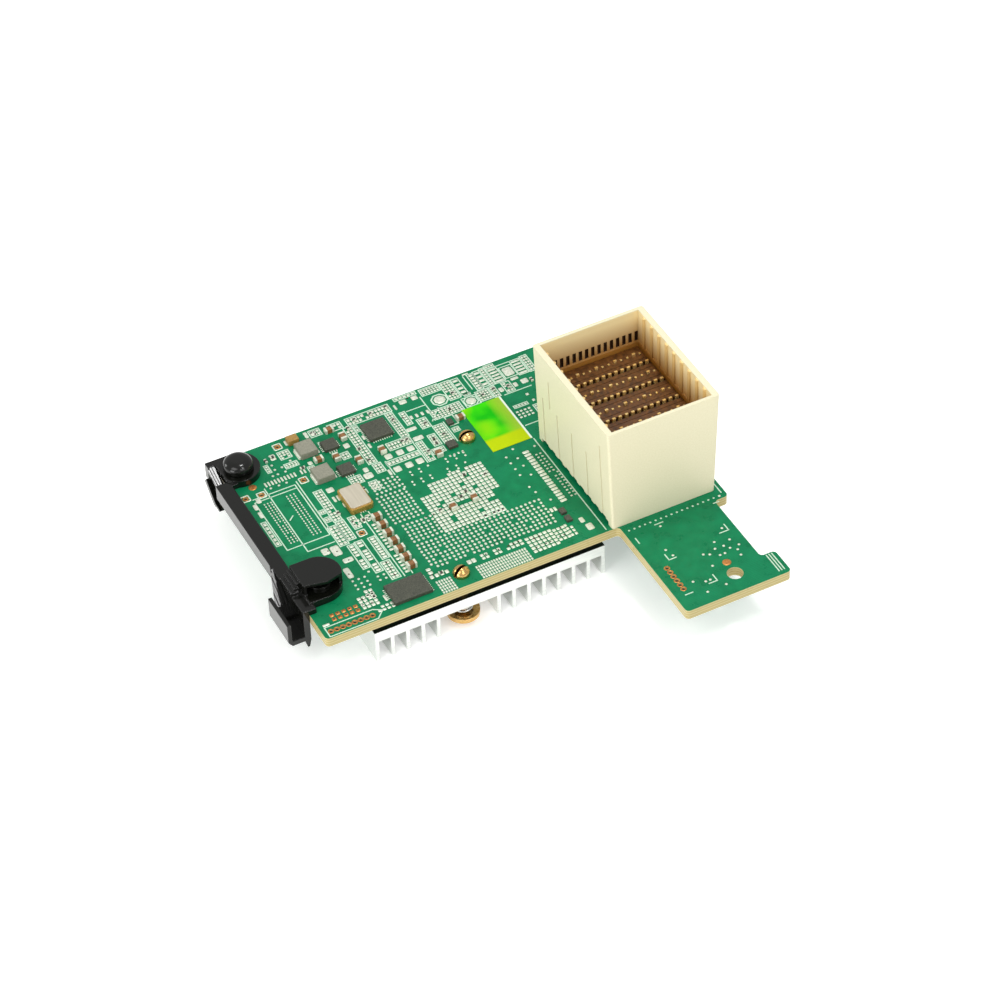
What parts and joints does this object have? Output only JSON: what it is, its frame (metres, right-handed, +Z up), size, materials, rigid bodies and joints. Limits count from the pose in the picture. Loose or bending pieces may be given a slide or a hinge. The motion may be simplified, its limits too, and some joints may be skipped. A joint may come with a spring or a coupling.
{
  "type": "fibre channel mezzanine card",
  "caption": "Adapter card with a forward tab, a tall shrouded stacking connector, a finned heat sink underneath held by sprung push pins, and a moulded latch bracket along one edge.",
  "frame": {"origin": "middle of the card's box in plan, on the plane of the heat sink's fin tips", "axes": "+X along the front edge from the latch bracket to the connector, +Y to the back edge, +Z up out of the connector's mouth"},
  "size_m": [0.0922, 0.0836, 0.0375],
  "materials": {
    "board_laminate": "green solder mask over glass laminate",
    "aluminium": "clear anodised",
    "cream_plastic": "satin moulded",
    "wafer_plastic": "matt moulded",
    "gold_plate": "gold plated",
    "black_plastic": "semi-gloss moulded",
    "chip_epoxy": "matt moulded",
    "ferrite": "pressed powder",
    "tantalum_moulding": "matt moulded",
    "label_film": "glossy printed film",
    "brass": "turned",
    "spring_steel": "drawn wire",
    "ceramic": "gold-rimmed ceramic",
    "nickel_lid": "nickel plated",
    "capacitor_ceramic": "fired ceramic",
    "tin_plate": "tin plated",
    "chip_substrate": "laminate",
    "silicone_pad": "soft"
  },
  "bodies": {
    "root": {"circuit_board": "board_laminate", "heat_sink": "aluminium", "connector_shroud": "cream_plastic", "latch_bracket": "black_plastic", "rear_rivet": "black_plastic", "front_rivet": "black_plastic", "flash_memory_chip": "chip_epoxy", "power_controller_chip": "chip_epoxy", "power_transistors": "chip_epoxy", "power_inductors": "ferrite", "logic_chips": "chip_epoxy", "tantalum_capacitor": "tantalum_moulding", "colour_label": "label_film", "front_push_pin": "brass", "back_push_pin": "brass", "front_spring": "spring_steel", "back_spring": "spring_steel", "oscillator_base": "ceramic", "oscillator_lid": "nickel_lid", "capacitor_bodies": "capacitor_ceramic", "capacitor_terminals": "tin_plate", "controller_substrate": "chip_substrate", "controller_lid": "chip_epoxy", "thermal_pad": "silicone_pad", "contact_wafer_1": "wafer_plastic", "contact_row_1": "gold_plate", "contact_wafer_2": "wafer_plastic", "contact_row_2": "gold_plate", "contact_wafer_3": "wafer_plastic", "contact_row_3": "gold_plate", "contact_wafer_4": "wafer_plastic", "contact_row_4": "gold_plate", "contact_wafer_5": "wafer_plastic", "contact_row_5": "gold_plate", "contact_wafer_6": "wafer_plastic", "contact_row_6": "gold_plate", "contact_wafer_7": "wafer_plastic", "contact_row_7": "gold_plate", "contact_wafer_8": "wafer_plastic", "contact_row_8": "gold_plate", "contact_wafer_9": "wafer_plastic", "contact_row_9": "gold_plate"}
  },
  "joints": []
}
